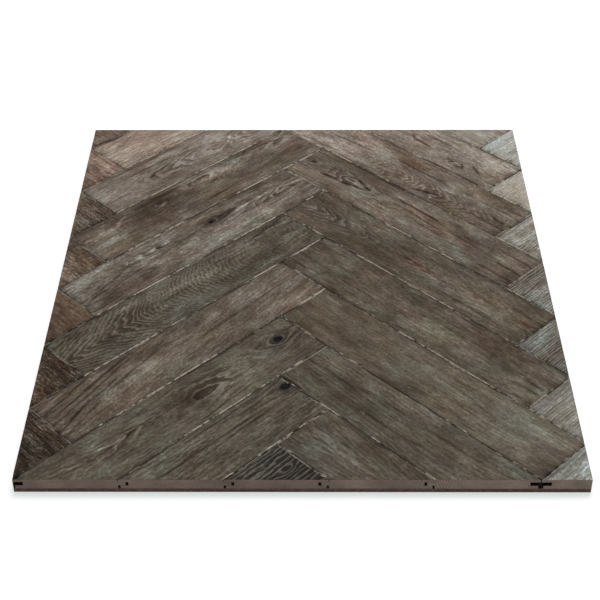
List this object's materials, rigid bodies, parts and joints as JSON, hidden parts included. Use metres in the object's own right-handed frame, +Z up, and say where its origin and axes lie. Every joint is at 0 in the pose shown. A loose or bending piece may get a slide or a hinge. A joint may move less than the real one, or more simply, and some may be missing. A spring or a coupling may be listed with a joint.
{
  "type": "herringbone parquet panel",
  "caption": "Sawn rectangular panel of herringbone oak parquet: tongue-and-groove blocks with worn, scraped faces glued to a thin backing board.",
  "frame": {"origin": "middle of the panel's underside", "axes": "+Z up through the worn face, +Y to the back edge of the picture, +X to the right"},
  "size_m": [0.697, 0.8224, 0.021],
  "materials": {
    "parquet": "worn satin",
    "backing": "raw"
  },
  "bodies": {
    "root": {"backing_board": "backing", "left_row_1_block_1": "parquet", "left_row_1_block_2": "parquet", "left_row_1_block_3": "parquet", "left_row_1_block_4": "parquet", "left_row_1_block_5": "parquet", "left_row_1_block_6": "parquet", "left_row_1_block_7": "parquet", "left_row_1_block_8": "parquet", "left_row_1_block_9": "parquet", "left_row_2_block_1": "parquet", "left_row_2_block_2": "parquet", "left_row_2_block_3": "parquet", "left_row_2_block_4": "parquet", "left_row_2_block_5": "parquet", "left_row_2_block_6": "parquet", "left_row_2_block_7": "parquet", "right_row_1_block_1": "parquet", "right_row_1_block_2": "parquet", "right_row_1_block_3": "parquet", "right_row_1_block_4": "parquet", "right_row_1_block_5": "parquet", "right_row_1_block_6": "parquet", "right_row_1_block_7": "parquet", "right_row_1_block_8": "parquet", "right_row_1_block_9": "parquet", "right_row_2_block_1": "parquet", "right_row_2_block_2": "parquet", "right_row_2_block_3": "parquet", "right_row_2_block_4": "parquet", "right_row_2_block_5": "parquet", "right_row_2_block_6": "parquet", "right_row_2_block_7": "parquet"}
  },
  "joints": []
}
